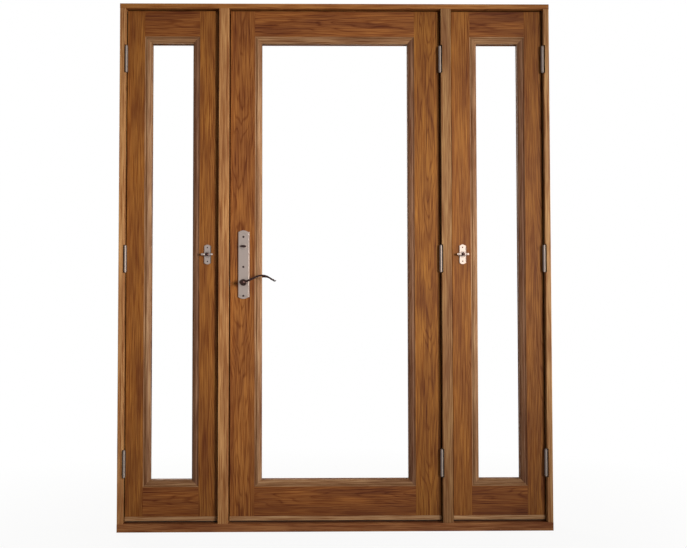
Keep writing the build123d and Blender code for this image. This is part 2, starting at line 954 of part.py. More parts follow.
def lock_case():
    """The case in the stile with its faceplate, open for the bolts and the spindle."""
    half = case_thickness / 2
    with BuildPart() as case:
        block(
            (main_leaf.x(case_back_u), main_leaf.x(case_end)),
            (y_middle - half, y_middle + half),
            (case_low, case_high),
        )
        block(
            (main_leaf.x(case_end - faceplate_thickness), main_leaf.x(case_end)),
            (y_middle - faceplate_width / 2, y_middle + faceplate_width / 2),
            (face_low, face_high),
        )
        for z, width, height in (
            (latch_z, latch_width, latch_height),
            (bolt_z, bolt_width, bolt_height),
        ):
            block(
                (main_leaf.x(hub_u), main_leaf.x(case_end)),
                (y_middle - width / 2 - slide_clearance, y_middle + width / 2 + slide_clearance),
                (z - height / 2 - slide_clearance, z + height / 2 + slide_clearance),
                Mode.SUBTRACT,
            )
        hub = spindle_size / sqrt(2) + slide_clearance
        cross_rod(hub_x, latch_z, hub, y_middle - half, y_middle + half, Mode.SUBTRACT)
        shank = turn_shank_radius + slide_clearance
        cross_rod(hub_x, bolt_z, shank, y_middle - half, y_middle + half, Mode.SUBTRACT)
    return case.part


def latch_bolt():
    """The sprung latch, bevelled on the side that meets the strike as the door shuts."""
    tip = case_end + latch_throw
    tail = hub_u + spindle_size / sqrt(2) + latch_throw + 2 * slide_clearance
    room, weather = y_middle - latch_width / 2, y_middle + latch_width / 2
    points = [
        (tail, room),
        (tip, room),
        (tip, room + latch_nose),
        (case_end, weather),
        (tail, weather),
    ]
    with BuildPart() as bolt:
        outline = polygon(
            [(main_leaf.x(u), y) for u, y in points],
            Plane.XY.offset(latch_z - latch_height / 2),
        )
        extrude(outline, amount=latch_height)
    return bolt.part


def dead_bolt():
    """The bolt, drawn back flush with the faceplate."""
    with BuildPart() as bolt:
        block(
            (main_leaf.x(case_end - bolt_length), main_leaf.x(case_end)),
            (y_middle - bolt_width / 2, y_middle + bolt_width / 2),
            (bolt_z - bolt_height / 2, bolt_z + bolt_height / 2),
        )
    return bolt.part


def cover_plate(x, low, high, face, outward, sizes, holes):
    """A plate with bevelled long sides and an arched end between two shoulders, top and bottom.

    Face is the leaf face that it lies on, and outward the direction it stands out in.
    """
    width, thickness, bevel, rim, arch, shoulder = sizes
    half = width / 2
    front = face + outward * thickness
    section = [
        (x - half, face),
        (x - half, face + outward * rim),
        (x - half + bevel, front),
        (x + half - bevel, front),
        (x + half, face + outward * rim),
        (x + half, face),
    ]
    with BuildPart() as plate:
        extrude(polygon(section, Plane.XY.offset(low)), amount=high - low)
        with BuildSketch(Plane.XZ.offset(-max(face, front))):
            with BuildLine():
                Polyline(
                    (x - half + shoulder, low + arch),
                    (x - half, low + arch),
                    (x - half, high - arch),
                    (x - half + shoulder, high - arch),
                )
                ThreePointArc(
                    (x - half + shoulder, high - arch), (x, high), (x + half - shoulder, high - arch)
                )
                Polyline(
                    (x + half - shoulder, high - arch),
                    (x + half, high - arch),
                    (x + half, low + arch),
                    (x + half - shoulder, low + arch),
                )
                ThreePointArc(
                    (x + half - shoulder, low + arch), (x, low), (x - half + shoulder, low + arch)
                )
            make_face()
            for level, radius in holes:
                with Locations((x, level)):
                    Circle(radius, mode=Mode.SUBTRACT)
        extrude(amount=thickness, mode=Mode.INTERSECT)
    return plate.part


main_plate_sizes = (
    main_plate_width,
    main_plate_thickness,
    plate_bevel,
    plate_rim,
    plate_arch,
    plate_shoulder,
)
neck_hole = neck_radius + slide_clearance
main_low, main_high = z_leaf + main_plate_low, z_leaf + main_plate_high


def lever_outline():
    """The lever's wave as seen from the room, from the neck to its curled tip.

    Its thickness falls evenly from the root to the tip.
    """
    top, bottom = [], []
    for along, up in lever_wave:
        half = (lever_root + (lever_tip - lever_root) * along) / 2
        x, z = hub_x + along * lever_length, latch_z + up * lever_rise
        top.append((x, z + half))
        bottom.append((x, z - half))
    curl_end = (top[-1][0] + lever_curl / 4, bottom[-1][1] - lever_tip / 5)
    Spline(*top)
    ThreePointArc(top[-1], (top[-1][0] + lever_curl, top[-1][1] - lever_tip / 10), curl_end)
    Line(curl_end, bottom[-1])
    Spline(*reversed(bottom))
    Line(bottom[0], top[0])


def lever(face, outward):
    """A lever handle: a collar on the plate, a neck and a waved arm."""
    plate_face_y = face + outward * main_plate_thickness
    arm_front = face + outward * lever_reach
    arm_back = arm_front - outward * lever_depth
    seat = plate_face_y + outward * slide_clearance
    with BuildPart() as handle:
        cross_rod(hub_x, latch_z, neck_radius, *sorted((face, arm_front)))
        cross_rod(hub_x, latch_z, collar_radius, *sorted((seat, seat + outward * collar_height)))
        with BuildSketch(Plane.XZ.offset(-max(arm_front, arm_back))):
            with BuildLine():
                lever_outline()
            make_face()
        extrude(amount=lever_depth)
        socket = spindle_size + 2 * joint_clearance
        block(
            (hub_x - socket / 2, hub_x + socket / 2),
            (face, face + outward * spindle_socket),
            (latch_z - socket / 2, latch_z + socket / 2),
            Mode.SUBTRACT,
        )
    return handle.part


def spindle():
    """The square bar that joins the two levers through the lock case."""
    end = spindle_socket - joint_clearance
    with BuildPart() as bar:
        block(
            (hub_x - spindle_size / 2, hub_x + spindle_size / 2),
            (y_face - end, y_back + end),
            (latch_z - spindle_size / 2, latch_z + spindle_size / 2),
        )
    return bar.part


def thumb_turn():
    """The turn that throws the bolt: a flat grip on a round base, with its shank in the case."""
    seat = y_face - main_plate_thickness - slide_clearance
    tail_end = y_middle + case_thickness / 2 - slide_clearance
    with BuildPart() as turn:
        cross_rod(hub_x, bolt_z, turn_base_radius, seat - turn_base_height, seat)
        cross_rod(hub_x, bolt_z, turn_shank_radius, seat, tail_end)
        with BuildSketch(Plane.XZ.offset(turn_base_height - seat)) as grip:
            with Locations((hub_x, bolt_z)):
                SlotOverall(turn_length, turn_thickness)
        extrude(amount=turn_height - turn_base_height)
    return turn.part


def key_cylinder():
    """The keyed cylinder, in from the weather side, with a rim over the plate and a keyway."""
    plate_front = y_back + main_plate_thickness
    with BuildPart() as cylinder:
        inner_end = y_middle + case_thickness / 2 + slide_clearance
        cross_rod(hub_x, bolt_z, cylinder_radius, inner_end, plate_front)
        cross_rod(
            hub_x,
            bolt_z,
            cylinder_radius + cylinder_rim,
            plate_front,
            plate_front + cylinder_rim_height,
        )
        block(
            (hub_x - keyway_width / 2, hub_x + keyway_width / 2),
            (plate_front + cylinder_rim_height - keyway_depth, plate_front + cylinder_rim_height),
            (bolt_z - keyway_height / 2, bolt_z + keyway_height / 2),
            Mode.SUBTRACT,
        )
    return cylinder.part


save(lock_case(), "lock_case")
save(latch_bolt(), "latch_bolt")
save(dead_bolt(), "dead_bolt")
save(
    cover_plate(
        hub_x,
        main_low,
        main_high,
        y_face,
        -1,
        main_plate_sizes,
        ((latch_z, neck_hole), (bolt_z, turn_shank_radius + slide_clearance)),
    ),
    "inside_escutcheon",
)
save(
    cover_plate(
        hub_x,
        main_low,
        main_high,
        y_back,
        1,
        main_plate_sizes,
        ((latch_z, neck_hole), (bolt_z, cylinder_radius + joint_clearance)),
    ),
    "outside_escutcheon",
)
save(lever(y_face, -1), "inside_lever")
save(lever(y_back, 1), "outside_lever")
save(spindle(), "lever_spindle")
save(thumb_turn(), "thumb_turn")
save(key_cylinder(), "key_cylinder")


# Catches of the side lights

catch_plate_sizes = (
    catch_plate_width,
    catch_plate_thickness,
    catch_bevel,
    catch_rim,
    catch_arch,
    catch_shoulder,
)


def catch_turn(leaf):
    """A cross-bar turn on a round knob, with its shank in the stile."""
    x = leaf.x(leaf.end - catch_backset)
    seat = y_face - catch_plate_thickness - slide_clearance
    front = y_face - catch_reach
    with BuildPart() as turn:
        cross_rod(x, catch_z, catch_knob_radius, front, seat)
        cross_rod(x, catch_z, catch_shank_radius, seat, y_middle)
        with BuildSketch(Plane.XZ.offset(-front - catch_bar_depth)):
            with Locations((x, catch_z)):
                SlotOverall(catch_bar_length, catch_bar_height)
        extrude(amount=catch_bar_depth)
    return turn.part


def catch_bolt(leaf):
    """The catch's bolt, drawn back inside the stile's edge."""
    end = leaf.end - lock_bevel
    with BuildPart() as bolt:
        block(
            (leaf.x(end - catch_bolt_length), leaf.x(end)),
            (y_middle - catch_bolt_width / 2, y_middle + catch_bolt_width / 2),
            (catch_z - catch_bolt_height / 2, catch_z + catch_bolt_height / 2),
        )
    return bolt.part


for leaf in (left_leaf, right_leaf):
    save(
        cover_plate(
            leaf.x(leaf.end - catch_backset),
            catch_z - catch_plate_height / 2,
            catch_z + catch_plate_height / 2,
            y_face,
            -1,
            catch_plate_sizes,
            ((catch_z, catch_shank_radius + slide_clearance),),
        ),
        f"{leaf.name}_catch_plate",
    )
    save(catch_turn(leaf), f"{leaf.name}_catch_turn")
    save(catch_bolt(leaf), f"{leaf.name}_catch_bolt")
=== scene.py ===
import json
from math import atan2, pi, radians

import bpy
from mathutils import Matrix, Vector


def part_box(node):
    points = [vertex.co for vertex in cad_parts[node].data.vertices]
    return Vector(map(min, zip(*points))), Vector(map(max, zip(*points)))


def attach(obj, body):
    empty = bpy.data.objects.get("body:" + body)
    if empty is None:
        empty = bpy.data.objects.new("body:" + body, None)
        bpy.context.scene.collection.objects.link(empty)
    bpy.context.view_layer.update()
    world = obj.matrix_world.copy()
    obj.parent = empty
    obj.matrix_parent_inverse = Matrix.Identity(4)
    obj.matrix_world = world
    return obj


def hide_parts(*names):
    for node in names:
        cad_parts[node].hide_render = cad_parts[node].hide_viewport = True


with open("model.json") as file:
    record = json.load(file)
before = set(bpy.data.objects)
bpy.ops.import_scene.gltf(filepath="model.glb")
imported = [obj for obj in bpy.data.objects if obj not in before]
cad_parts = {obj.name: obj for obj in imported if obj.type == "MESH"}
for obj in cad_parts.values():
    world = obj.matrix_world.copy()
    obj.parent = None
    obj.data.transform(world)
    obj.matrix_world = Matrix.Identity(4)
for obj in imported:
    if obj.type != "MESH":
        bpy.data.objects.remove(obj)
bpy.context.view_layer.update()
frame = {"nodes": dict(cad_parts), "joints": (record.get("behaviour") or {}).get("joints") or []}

bl_info = {
    "name": "Glazed Entrance Set",
    "version": (1, 0, 0),
    "blender": (4, 5, 0),
    "location": "View3D > Sidebar > Entrance",
    "description": "Finishes, fittings and studio for a door with two opening side lights",
    "category": "Object",
}

# Lengths are in mm, and MM turns them to metres, except where a comment says that they are metres.
MM = 0.001


def corners(node):
    """A CAD node's lowest and highest corners, in mm."""
    return [Vector([round(part / MM, 3) for part in corner]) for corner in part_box(node)]


def pivot(name):
    """The place of a joint's axis, in mm."""
    joint = next(joint for joint in frame["joints"] if joint["name"] == name)
    return Vector([round(part / MM, 3) for part in joint["pos_m"]])


# Places that the frame gives: the leaf's two faces, the plates on them, and the fittings' axes.
STILE_LOW, STILE_HIGH = corners("main_lock_stile")
PLATE_LOW, PLATE_HIGH = corners("inside_escutcheon")
FACE_Y = STILE_LOW.y
BACK_Y = STILE_HIGH.y
MIDDLE_Y = (FACE_Y + BACK_Y) / 2
PLATE_THICK = FACE_Y - PLATE_LOW.y
CATCH_PLATE_THICK = FACE_Y - corners("right_catch_plate")[0].y
DOOR_HUB_X = pivot("lever_press").x
LEVER_Z = pivot("lever_press").z
BOLT_Z = pivot("turn_rotation").z
SIDE_HUB_X = pivot("right_catch_rotation").x
CATCH_Z = pivot("right_catch_rotation").z

# Growth rings, in metres: how far apart they are, how strongly they bow away from the heart and
# climb along the board, and how far a slow drift and a small ripple push them about.
RING_PITCH = 0.0042
RING_BOW = 15.0
RING_CLIMB = 0.05
DRIFT_DEPTH = 0.07
RIPPLE_DEPTH = 0.010

# Features to the metre of the oak's noises, so that one is about 1000 / number mm wide.
DRIFT_SCALE = 14.0
RIPPLE_SCALE = 60.0
CLOUD_SCALE = 26.0
# A fibre is 0.02 mm wide and can't show. Bundles of fibres are drawn 5 mm wide, with finer ones.
FIBRE_SCALE = 210.0
# An open pore is 0.3 mm wide. It is drawn 2.4 mm wide, so that it shows in the render.
PORE_SCALE = 420.0
# Brushing lines are 0.05 mm apart. They are drawn 0.6 mm apart, so that they show close by.
BRUSH_SCALE = 1800.0

# How little each pattern changes along the grain or the brushing, against across it.
RING_STRETCH = (1.0, 1.0, 0.16)
FIBRE_STRETCH = (1.0, 1.0, 0.022)
PORE_STRETCH = (1.0, 1.0, 0.018)
BRUSH_STRETCH = (1.0, 1.0, 0.02)

# What each board adds to the seed, and what the seed moves the rings by, so that no two are alike.
BOARD_STEP = 1.7
RING_SHIFT = (0.37, 0.21, 1.3)

# Where along a ring the late wood starts and ends, and how deep in the noise a pore does.
LATE_STOPS = ((0.48, 1.0), (0.90, 0.0))
PORE_STOPS = ((0.46, 0.0), (0.60, 1.0))

# Dark and light tones of each kind of board, and what late wood and pores multiply them by.
BOARDS = {
    "leaf": ("#693B1A", "#A57132"),
    "lock stile": ("#68391E", "#A26D37"),
    "side": ("#6F4020", "#A47035"),
    "rail": ("#62351D", "#986232"),
    "bead": ("#78553B", "#AF8D6A"),
    # The bead's right length is darker as a painted shade on its slope that faces away from the lamps.
    "bead in painted shade": ("#5F3F2E", "#8B6950"),
    "left jamb": ("#9A6B45", "#CEA26E"),
    "left mullion": ("#8F623E", "#C19463"),
    "right mullion": ("#7C5639", "#A78459"),
    "right jamb": ("#926844", "#C59E6E"),
    "head": ("#87532C", "#B17E47"),
    "sill": ("#754428", "#A8764C"),
    "strip": ("#916C4D", "#C4A17A"),
}
LATE_TONE = "#CDB7A4"
PORE_TONE = "#C9B09B"

# The bead's width across its face, and how far off its rings' heart lies, in metres, in its upright
# and in its level lengths.
BEAD_WIDTH = 26.5
BEAD_HEART = 0.25
LEVEL_BEAD_HEART = 0.4

# How a wooden node's name ends, its kind of board, the axis of its grain, and how far the heart of
# its rings lies off its middle, in metres.
WOODEN = (
    ("glazing_bead", "bead", "Z", BEAD_HEART),
    ("main_hinge_stile", "leaf", "Z", 0.018),
    ("main_lock_stile", "lock stile", "Z", -0.02),
    ("stile", "side", "Z", 0.06),
    ("_rail", "rail", "X", 0.012),
    ("bottom_strip", "strip", "X", 0.12),
    ("head_jamb", "head", "X", 0.10),
    ("left_jamb", "left jamb", "Z", 0.08),
    ("right_jamb", "right jamb", "Z", 0.08),
    ("left_mullion", "left mullion", "Z", 0.07),
    ("right_mullion", "right mullion", "Z", 0.07),
    ("sill", "sill", "X", 0.05),
)

# How another node's name ends, and its finish. What isn't listed is satin nickel.
FITTED = (
    ("_glass", "glass"),
    ("_glass_spacer", "aluminium"),
    ("_sweep", "rubber"),
    ("_weatherstrip", "rubber"),
    ("hinge_plates", "hinge_nickel"),
    ("hinge_pins", "hinge_nickel"),
    ("lock_case", "steel"),
    ("lever_spindle", "steel"),
    ("_bolt", "steel"),
)

# What is left of a bare pane's sheen on coated glass, and of the nickel's tone on the hinges, where the
# darkening is a painted shade.
SHEEN_SHARE = 0.35
HINGE_SHADE_SHARE = 0.55

# The leaves, each with the side of its hinges that it lies on, and the sides of the set and of the
# door that have like fittings.
LEAVES = (("main", -1), ("left", 1), ("right", -1))
SIDES = (("left", -1), ("right", 1))
FACES = (("inside", FACE_Y, -1), ("outside", BACK_Y, 1))

# The levers' wave: how far out from the hub and how high the middle of the arm is. The arm narrows
# by ARM_TAPER at each point, and by TIP_TAPER at the last ones, where it curls.
LEVER_PATH = (
    (0, 0), (9, 1.5), (17.1, 4.2), (29.3, 9.2), (41.5, 14.8), (53.7, 21.0), (63.6, 24.6),
    (73.1, 25.6), (85, 24.6), (95, 21.2), (104, 15.8), (110, 11.0), (114.5, 8.4), (118.5, 9.2),
    (119.5, 11.8),
)
ARM_TAPER = 0.97
TIP_TAPER = 0.88
TIP_POINTS = 3
ARM_EDGE = 1.2

# What joins a lever to its plate, from the wall outwards: its neck, a collar, a thin rim and a boss.
NECK_RADIUS = 8.0
COLLAR_RADIUS = 13.0
COLLAR_DEPTH = 6.0
COLLAR_EDGE = 2.0
COLLAR_LIFT = 0.3
RIM_RADIUS = 10.0
RIM_THICK = 0.9
RIM_LIFT = 6.6
BOSS_SIZES = (12.5, 7.5, 9.5)

# The two raised arches at each end of a long plate, made of small oval swellings side by side.
ARCH_INSETS = (5.5, 9.0)
ARCH_MARGIN = 5.5
ARCH_RISE = 3.6
ARCH_HALF_WIDTH = 15.0
ARCH_NARROWING = 0.2
ARCH_STEPS = 4
ARCH_SIZES = (2.7, 0.8, 0.8)

# The thumb turn's foot ring, and the swelling of its grip.
FOOT_RADIUS = 12.5
FOOT_DEPTH = 1.6
FOOT_EDGE = 0.6
GRIP_REACH = 22.5
GRIP_SIZES = (13.6, 4.5, 4.3)

# The side catches' knob, its two wings, and the two rings of the rose behind it.
KNOB_REACH = 22.0
KNOB_SIZES = (7.6, 3.4, 6.6)
WING_REACH = 19.0
WING_SPREAD = 15.0
WING_SIZES = (8.6, 4.0, 4.4)
ROSE_RADII = (9.0, 11.6)
ROSE_THICK = 0.8
ROSE_LIFT = 0.1

# Where the screws are: above the foot of a long plate or of the door's strike, above and below a
# catch's axis, in from the ends of the lock's faceplate, and on a hinge's leaf by the distance from
# the pin and the height over the hinge's middle.
PLATE_SCREWS = (11.0, 123.0, 239.0)
STRIKE_SCREWS = (9.0, 98.5, 190.0)
CATCH_SCREWS = (-27, 27)
SIDE_STRIKE_SCREWS = (-19, 19)
FACEPLATE_INSET = 11.0
FACEPLATE_X = -404.8
HINGE_SCREWS = ((24.0, -38.0), (34.0, -13.0), (34.0, 13.0), (24.0, 38.0))
HINGE_LEAF_THICK = 2.0
HINGE_LEVELS = (257.0, 1041.0, 1817.0)
SMALL_SCREW_RADIUS = 2.6

# Against a screw's radius: its head's height, and its recess's length, width, depth and rise.
SCREW_DOME = 0.22
RECESS_LONG = 1.3
RECESS_WIDE = 0.34
RECESS_DEEP = 0.22
RECESS_RISE = 0.2

# The studio, in metres and degrees. The camera is fitted to the corners of the real frame.
CAMERA_PLACE = (-0.0235, -3.943, 0.834)
CAMERA_TURN = (92.172, 0.099, -0.805)
SENSOR_WIDTH = 36.0
LAMP_TONE = "#FFF6EA"
ROOM_TONE = "#F4F1EC"
FLOOR_TONE = "#B4B2AE"
FLOOR_RADIUS = 25.0
FLOOR_DROP = 0.0005
# The floor keeps its shadow up to 0.2 of this distance from the middle, and is white past 0.6.
SHADOW_REACH = 4.0
FLOOR_STOPS = ((0.2, 0.93), (0.6, 1.0))

# Settings of the nodes that calculate and of those that mix two colours.
ADDS = {"operation": "ADD"}
SUBTRACTS = {"operation": "SUBTRACT"}
MULTIPLIES = {"operation": "MULTIPLY"}
DIVIDES = {"operation": "DIVIDE"}
ZIGZAGS = {"operation": "PINGPONG"}
TAKES_LARGER = {"operation": "MAXIMUM"}
MIXES = {"data_type": "RGBA", "blend_type": "MIX"}
TINTS = {"data_type": "RGBA", "blend_type": "MULTIPLY"}


# Materials


def colour(code):
    """A linear colour from an sRGB hex code."""
    channels = [int(code[i:i + 2], 16) / 255 for i in (1, 3, 5)]
    linear = (c / 12.92 if c <= 0.04045 else ((c + 0.055) / 1.055) ** 2.4 for c in channels)
    return (*linear, 1.0)


WHITE = colour("#FFFFFF")
MATERIALS = {}


def new_material(name):
    """An empty node material and its tree."""
    material = bpy.data.materials.new(name)
    material.use_nodes = True
    material.node_tree.nodes.clear()
    return material, material.node_tree


def add_node(tree, kind, settings=None, stops=(), **inputs):
    """Adds a node with its settings, a ramp's two stops and its inputs.

    A stop is a place and a linear colour or grey level. An input goes by its name, or by i and its
    number. It is a value, a node's output, or a node, whose first output is taken.
    """
    node = tree.nodes.new(kind)
    for key, value in (settings or {}).items():
        setattr(node, key, value)
    for i, (place, tone) in enumerate(stops):
        node.color_ramp.elements[i].position = place
        node.color_ramp.elements[i].color = tone if isinstance(tone, tuple) else (tone, tone, tone, 1.0)
    for key, value in inputs.items():
        numbered = key[0] == "i" and key[1:].isdigit()
        socket = node.inputs[int(key[1:]) if numbered else key.replace("_", " ")]
        if isinstance(value, bpy.types.Node):
            value = value.outputs[0]
        if isinstance(value, bpy.types.NodeSocket):
            tree.links.new(value, socket)
        else:
            socket.default_value = value
    return node


def background_rays(tree):
    """1 for the rays that show a background: those from the camera, mirrored or through glass."""
    rays = add_node(tree, "ShaderNodeLightPath").outputs
    seen = add_node(
        tree, "ShaderNodeMath", TAKES_LARGER,
        i0=rays["Is Camera Ray"], i1=rays["Is Transmission Ray"],
    )
    return add_node(tree, "ShaderNodeMath", TAKES_LARGER, i0=seen, i1=rays["Is Glossy Ray"])


# Stained red oak, planed and clear coated. The eye sees flame-shaped growth rings with darker late
# wood, fine streaks and short dark pores along the grain, an uneven warm stain and a dull sheen.
def oak(name, dark, light, along, heart, seed, run_centre):
    """One board's oak, between its dark and its light tone.

    Along is the grain's axis, heart the line on the board's face where the rings arch over, and
    run_centre where along the board the arches start. Both places are in metres.
    """
    material, tree = new_material(name)
    place = add_node(tree, "ShaderNodeTexCoord").outputs["Object"]
    parts = add_node(tree, "ShaderNodeSeparateXYZ", i0=place).outputs
    across, run = (parts[0], parts[2]) if along == "Z" else (parts[2], parts[0])
    grain = add_node(tree, "ShaderNodeCombineXYZ", i0=across, i1=parts[1], i2=run)
    # Growth rings. Their arches are long along the board and close together across it.
    shift = tuple(seed * share for share in RING_SHIFT)
    drawn = add_node(tree, "ShaderNodeMapping", i0=grain, i1=shift, i3=RING_STRETCH)
    drift = add_node(
        tree, "ShaderNodeTexNoise", i0=drawn, Scale=DRIFT_SCALE, Detail=2.0, Roughness=0.5,
    )
    ripple = add_node(
        tree, "ShaderNodeTexNoise", i0=drawn, Scale=RIPPLE_SCALE, Detail=1.0, Roughness=0.5,
    )
    drifted = add_node(tree, "ShaderNodeMath", MULTIPLIES, i0=drift, i1=DRIFT_DEPTH)
    rippled = add_node(tree, "ShaderNodeMath", MULTIPLIES, i0=ripple, i1=RIPPLE_DEPTH)
    wander = add_node(tree, "ShaderNodeMath", ADDS, i0=drifted, i1=rippled)
    off = add_node(tree, "ShaderNodeMath", SUBTRACTS, i0=across, i1=heart)
    off_squared = add_node(tree, "ShaderNodeMath", MULTIPLIES, i0=off, i1=off)
    bow = add_node(tree, "ShaderNodeMath", MULTIPLIES, i0=off_squared, i1=RING_BOW)
    travel = add_node(tree, "ShaderNodeMath", SUBTRACTS, i0=run, i1=run_centre)
    climb = add_node(tree, "ShaderNodeMath", MULTIPLIES, i0=travel, i1=RING_CLIMB)
    bowed = add_node(tree, "ShaderNodeMath", ADDS, i0=bow, i1=wander)
    depth = add_node(tree, "ShaderNodeMath", SUBTRACTS, i0=bowed, i1=climb)
    zigzag = add_node(tree, "ShaderNodeMath", ZIGZAGS, i0=depth, i1=RING_PITCH)
    ring_share = add_node(tree, "ShaderNodeMath", DIVIDES, i0=zigzag, i1=RING_PITCH)
    # Fibres: fine streaks along the whole board, which also fray the ring lines.
    fibre = add_node(tree, "ShaderNodeMapping", i0=grain, i1=(0.0, seed, seed), i3=FIBRE_STRETCH)
    streaks = add_node(
        tree, "ShaderNodeTexNoise", i0=fibre, Scale=FIBRE_SCALE, Detail=3.0, Roughness=0.65,
    )
    frayed = add_node(tree, "ShaderNodeMath", ADDS, i0=ring_share, i1=streaks)
    late = add_node(tree, "ShaderNodeValToRGB", stops=LATE_STOPS, i0=frayed)
    # Open pores: short dark dashes.
    dash = add_node(tree, "ShaderNodeMapping", i0=grain, i1=(seed, seed, seed), i3=PORE_STRETCH)
    pores = add_node(
        tree, "ShaderNodeTexNoise", i0=dash, Scale=PORE_SCALE, Detail=2.0, Roughness=0.6,
    )
    pore_mask = add_node(tree, "ShaderNodeValToRGB", stops=PORE_STOPS, i0=pores)
    # The stain takes unevenly, darker in some bands and lighter in others.
    cloud = add_node(tree, "ShaderNodeTexNoise", i0=drawn, Scale=CLOUD_SCALE, Detail=2.0)
    uneven = add_node(tree, "ShaderNodeMix", MIXES, i0=0.5, i6=streaks, i7=cloud).outputs[2]
    stained = add_node(tree, "ShaderNodeValToRGB", stops=((0.34, dark), (0.66, light)), i0=uneven)
    ringed = add_node(
        tree, "ShaderNodeMix", TINTS, i0=late, i6=stained, i7=colour(LATE_TONE),
    ).outputs[2]
    pored = add_node(
        tree, "ShaderNodeMix", TINTS, i0=pore_mask, i6=ringed, i7=colour(PORE_TONE),
    ).outputs[2]
    relief = add_node(
        tree, "ShaderNodeBump", {"invert": True}, Strength=0.25, Distance=0.2 * MM, Height=pores,
    )
    shader = add_node(
        tree, "ShaderNodeBsdfPrincipled",
        Base_Color=pored, Roughness=0.52, Normal=relief, IOR=1.45, Specular_IOR_Level=0.14,
    )
    add_node(tree, "ShaderNodeOutputMaterial", i0=shader)
    return material


def metal_finish(name, tone, roughness, brushed=True):
    """A metal of a linear tone, with fine upright brushing where brushed."""
    material, tree = new_material(name)
    shader = add_node(
        tree, "ShaderNodeBsdfPrincipled", Base_Color=tone, Metallic=1.0, Roughness=roughness,
    )
    if brushed:
        place = add_node(tree, "ShaderNodeTexCoord").outputs["Object"]
        fine = add_node(tree, "ShaderNodeMapping", i0=place, i3=BRUSH_STRETCH)
        lines = add_node(tree, "ShaderNodeTexNoise", i0=fine, Scale=BRUSH_SCALE, Detail=2.0)
        bump = add_node(tree, "ShaderNodeBump", Strength=0.12, Distance=0.04 * MM, Height=lines)
        tree.links.new(bump.outputs[0], shader.inputs["Normal"])
    add_node(tree, "ShaderNodeOutputMaterial", i0=shader)
    return material


def plain_finish(name, tone, roughness, metallic=0.0):
    """A finish that is the same all over, from a hex tone."""
    material, tree = new_material(name)
    shader = add_node(
        tree, "ShaderNodeBsdfPrincipled",
        Base_Color=colour(tone), Roughness=roughness, Metallic=metallic,
    )
    add_node(tree, "ShaderNodeOutputMaterial", i0=shader)
    return material


# Float glass, flat and polished, too thin for its green to show. The eye sees what is behind it,
# with a faint mirror sheen that grows at a slant.
def float_glass(name):
    """Clear coated panes."""
    material, tree = new_material(name)
    clear = add_node(tree, "ShaderNodeBsdfTransparent", i0=WHITE)
    sheen = add_node(tree, "ShaderNodeBsdfGlossy", Color=WHITE, Roughness=0.02)
    slant = add_node(tree, "ShaderNodeFresnel", IOR=1.45)
    coated = add_node(tree, "ShaderNodeMath", MULTIPLIES, i0=slant, i1=SHEEN_SHARE)
    mixed = add_node(tree, "ShaderNodeMixShader", i0=coated, i1=clear, i2=sheen)
    add_node(tree, "ShaderNodeOutputMaterial", i0=mixed)
    return material


def make_materials(metal):
    """Makes every finish but the boards'. Metal is the linear tone of the nickel."""
    MATERIALS["glass"] = float_glass("clear float glass")
    # Extruded rubber: nearly black, with no gloss.
    MATERIALS["rubber"] = plain_finish("brown seal rubber", "#2A1A10", roughness=0.75)
    # Rolled aluminium bars as they leave the mill: pale grey, with a soft blurred sheen.
    MATERIALS["aluminium"] = plain_finish("mill aluminium", "#9C9C9E", roughness=0.45, metallic=1.0)
    # Nickel plate, brushed upright: a warm pale grey with a broad soft highlight.
    MATERIALS["nickel"] = metal_finish("satin nickel", (*metal, 1.0), roughness=0.34)
    # The same nickel plate, smoother and unbrushed, with a painted shade and painted reflection of a
    # dim room in its tone: brown black, with small bright spots from the lamps.
    MATERIALS["painted_dark_nickel"] = metal_finish(
        "nickel with painted shade", colour("#3A2A28"), roughness=0.24, brushed=False,
    )
    # The same nickel on the hinges, rougher, and darkened as a painted shade: a darker grey, with
    # hardly any highlight.
    hinge_shaded = (*(part * HINGE_SHADE_SHARE for part in metal), 1.0)
    MATERIALS["hinge_nickel"] = metal_finish("hinge nickel with painted shade", hinge_shaded, roughness=0.5)
    # Bare steel, ground along its length: a neutral grey, duller than the plate.
    MATERIALS["steel"] = metal_finish("ground steel", colour("#77777A"), roughness=0.5)
    # The shade inside a stamped cross: black, with no gloss.
    MATERIALS["recess"] = plain_finish("screw recess", "#0E0A09", roughness=0.7)


# Modelling helpers


def deselect():
    """Leaves edit mode and selects nothing."""
    if bpy.context.object and bpy.context.object.mode != "OBJECT":
        bpy.ops.object.mode_set(mode="OBJECT")
    bpy.ops.object.select_all(action="DESELECT")


def pick(piece):
    """Makes a piece the only one selected, and the active one."""
    deselect()
    piece.select_set(True)
    bpy.context.view_layer.objects.active = piece


def settle(piece):
    """Puts a piece's place, turn and size into its mesh."""
    pick(piece)
    bpy.ops.object.transform_apply(location=True, rotation=True, scale=True)
    return piece


def finish_piece(piece, name, body, material, angle=35):
    """Smooths a piece up to an angle in degrees, names it and ties it to its body and slot."""
    settle(piece)
    bpy.ops.object.shade_smooth_by_angle(angle=radians(angle))
    piece.name = name
    piece.data.name = name
    if material is not None:
        piece.data.materials.clear()
        piece.data.materials.append(material)
    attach(piece, body)
    return piece


def join(pieces):
    """Joins pieces into the first of them."""
    deselect()
    for piece in pieces:
        piece.select_set(True)
    bpy.context.view_layer.objects.active = pieces[0]
    bpy.ops.object.join()
    return pieces[0]


def bevelled(piece, width, angle=30):
    """Rounds the edges of a piece that are sharper than an angle in degrees."""
    modifier = piece.modifiers.new("edges", "BEVEL")
    modifier.width = width * MM
    modifier.segments = 3
    modifier.limit_method = "ANGLE"
    modifier.angle_limit = radians(angle)
    pick(piece)
    bpy.ops.object.modifier_apply(modifier=modifier.name)
    return piece


def disc(x, y, z, radius, depth, facing, segments=32):
    """A flat cylinder across the wall, standing out from y in the direction it faces."""
    deselect()
    bpy.ops.mesh.primitive_cylinder_add(
        vertices=segments, radius=radius * MM, depth=depth * MM,
        location=(x * MM, (y + facing * depth / 2) * MM, z * MM), rotation=(pi / 2, 0, 0),
    )
    return settle(bpy.context.object)


